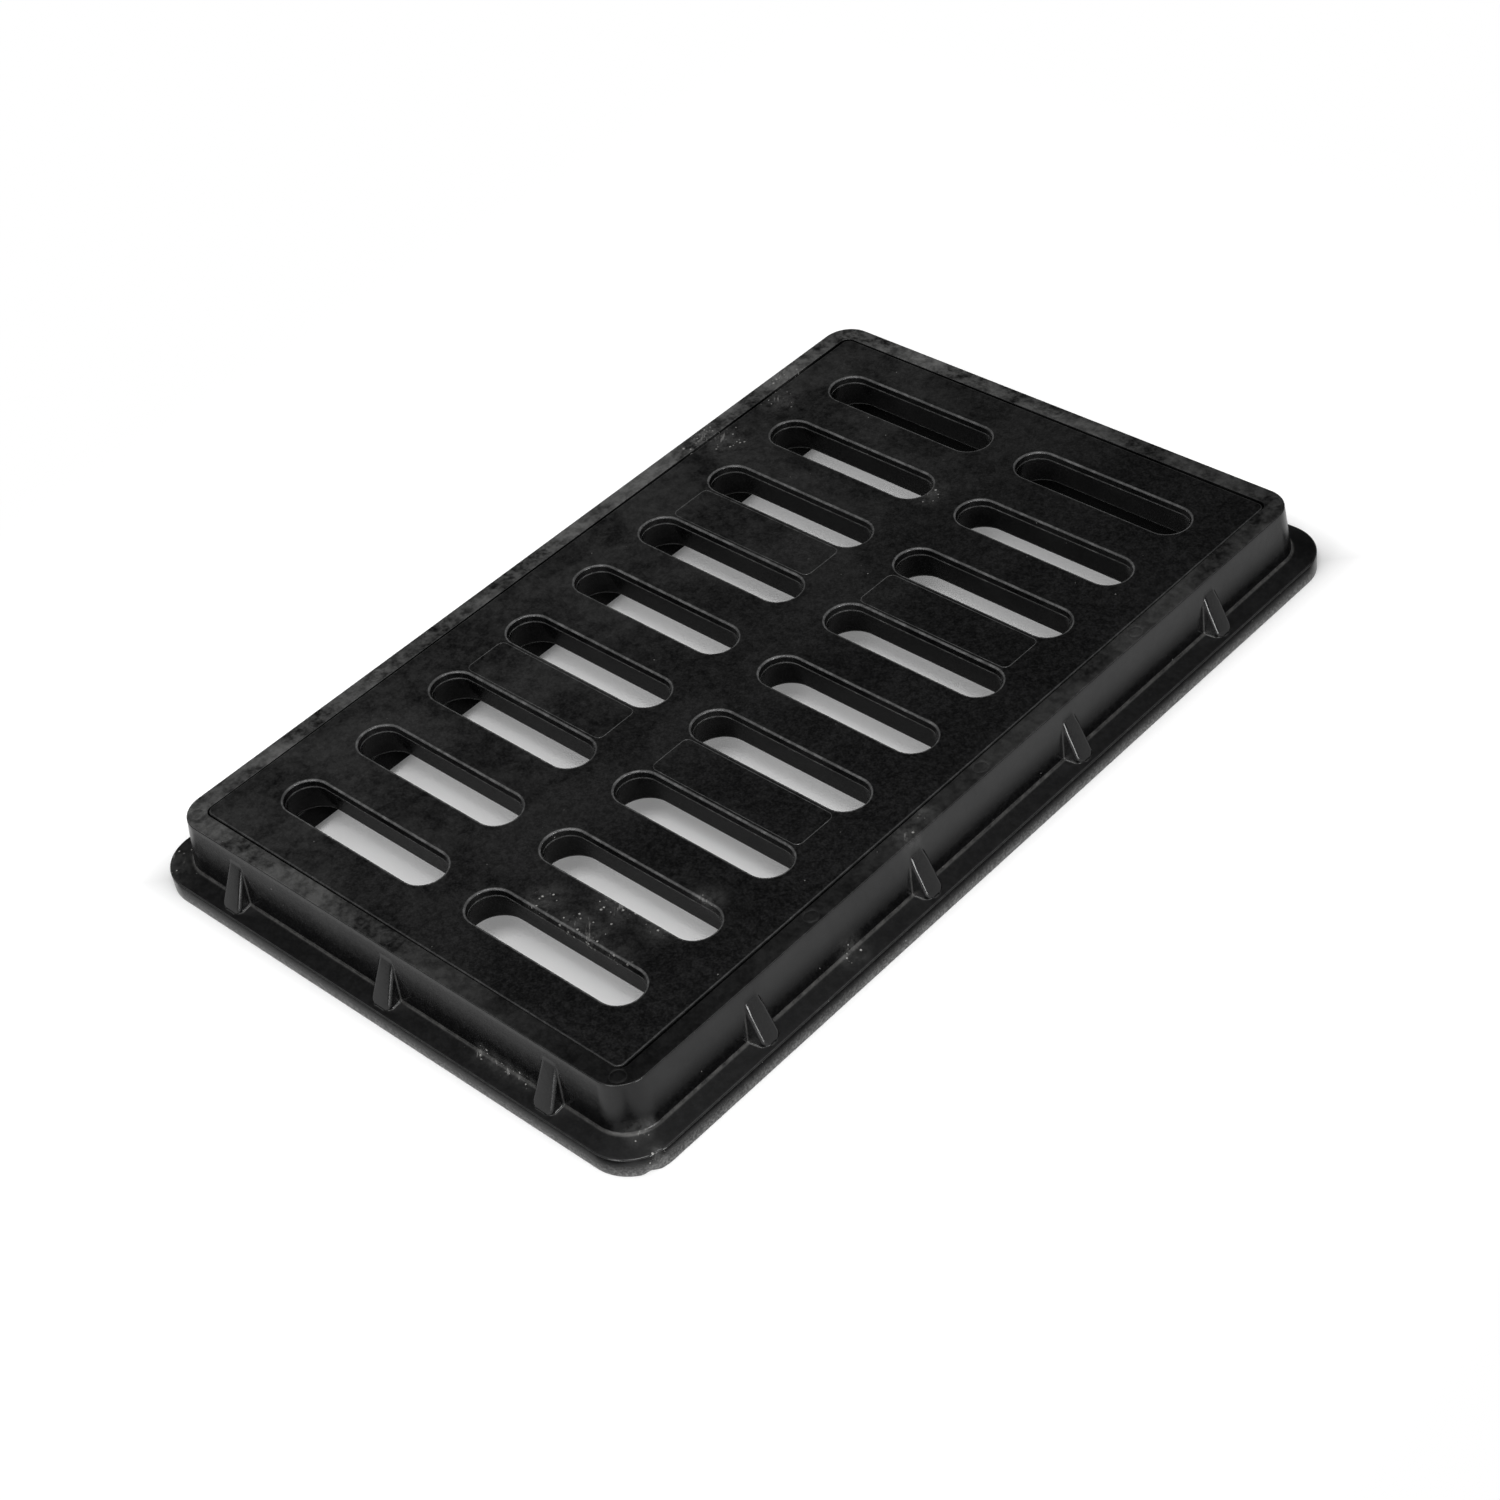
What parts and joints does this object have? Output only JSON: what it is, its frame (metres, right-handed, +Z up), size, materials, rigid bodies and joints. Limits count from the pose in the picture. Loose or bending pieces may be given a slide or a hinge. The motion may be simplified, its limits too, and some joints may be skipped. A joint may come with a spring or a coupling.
{
  "type": "gully grate",
  "caption": "Rectangular gully grate: a slotted panel resting loose inside a flanged frame with a leaning wall braced by small ribs.",
  "frame": {"origin": "centre of the frame's underside, on the bed it is laid on", "axes": "+X across the panel along its slots, +Y along the panel, +Z up"},
  "size_m": [0.53, 0.83, 0.065],
  "materials": {
    "frame": "satin moulded fibre-filled resin, black",
    "panel": "satin moulded fibre-filled resin, black, dusty"
  },
  "bodies": {
    "root": {"frame": "frame", "panel": "panel"}
  },
  "joints": []
}
